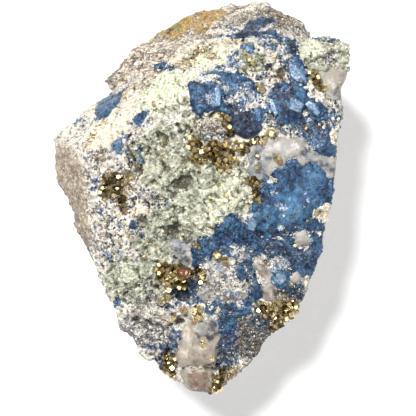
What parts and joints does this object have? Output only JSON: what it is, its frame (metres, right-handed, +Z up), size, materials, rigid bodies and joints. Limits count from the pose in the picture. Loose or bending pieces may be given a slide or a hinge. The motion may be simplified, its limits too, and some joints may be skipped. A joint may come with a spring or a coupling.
{
  "type": "afghanite on pyrite mineral specimen",
  "caption": "Hand-sized broken marble specimen lying on a flat base, its display face set with blue afghanite, waxy white calcite and clusters of brassy pyrite crystals.",
  "frame": {"origin": "middle of the specimen's box at the flat base it lies on", "axes": "+Z up out of the display face, +Y along the long side towards the wide end with the back block, +X to the viewer's right"},
  "size_m": [0.1046, 0.1404, 0.0651],
  "materials": {
    "rock": "sugary cream and pale green marble, matte",
    "afghanite": "blue, glassy to waxy, with white veins",
    "calcite": "white to grey, waxy, slightly translucent",
    "pyrite": "brass-yellow metallic crystals, brown in the hollows"
  },
  "bodies": {
    "root": {"afghanite_back_streak": "afghanite", "afghanite_dark_crystal": "afghanite", "afghanite_left_edge_grain": "afghanite", "afghanite_left_upper_grain": "afghanite", "afghanite_little_flake": "afghanite", "afghanite_lower": "afghanite", "afghanite_lower_right": "afghanite", "afghanite_navy_grain": "afghanite", "afghanite_pale_flake": "afghanite", "afghanite_right": "afghanite", "afghanite_slope_flake": "afghanite", "afghanite_strip_beside_tooth": "afghanite", "afghanite_top_ridge": "afghanite", "afghanite_upper_left": "afghanite", "afghanite_upper_right": "afghanite", "calcite_corner_wedge": "calcite", "calcite_grain_low": "calcite", "calcite_grain_lower_right": "calcite", "calcite_grain_middle": "calcite", "calcite_grain_right": "calcite", "calcite_left_grain": "calcite", "calcite_round_grains": "calcite", "calcite_tip": "calcite", "calcite_tooth": "calcite", "calcite_vein": "calcite", "host_rock": "rock", "pyrite_ball_in_calcite": "pyrite", "pyrite_bottom_left": "pyrite", "pyrite_centre": "pyrite", "pyrite_corner_seam": "pyrite", "pyrite_drop": "pyrite", "pyrite_golden_pair": "pyrite", "pyrite_left_hollow": "pyrite", "pyrite_lower_left": "pyrite", "pyrite_middle_right": "pyrite", "pyrite_pair_in_blue": "pyrite", "pyrite_right_edge": "pyrite", "pyrite_seam_middle": "pyrite", "pyrite_seam_upper": "pyrite", "pyrite_tip": "pyrite", "pyrite_top_single": "pyrite", "pyrite_upper_pair": "pyrite", "pyrite_vein_single": "pyrite"}
  },
  "joints": []
}
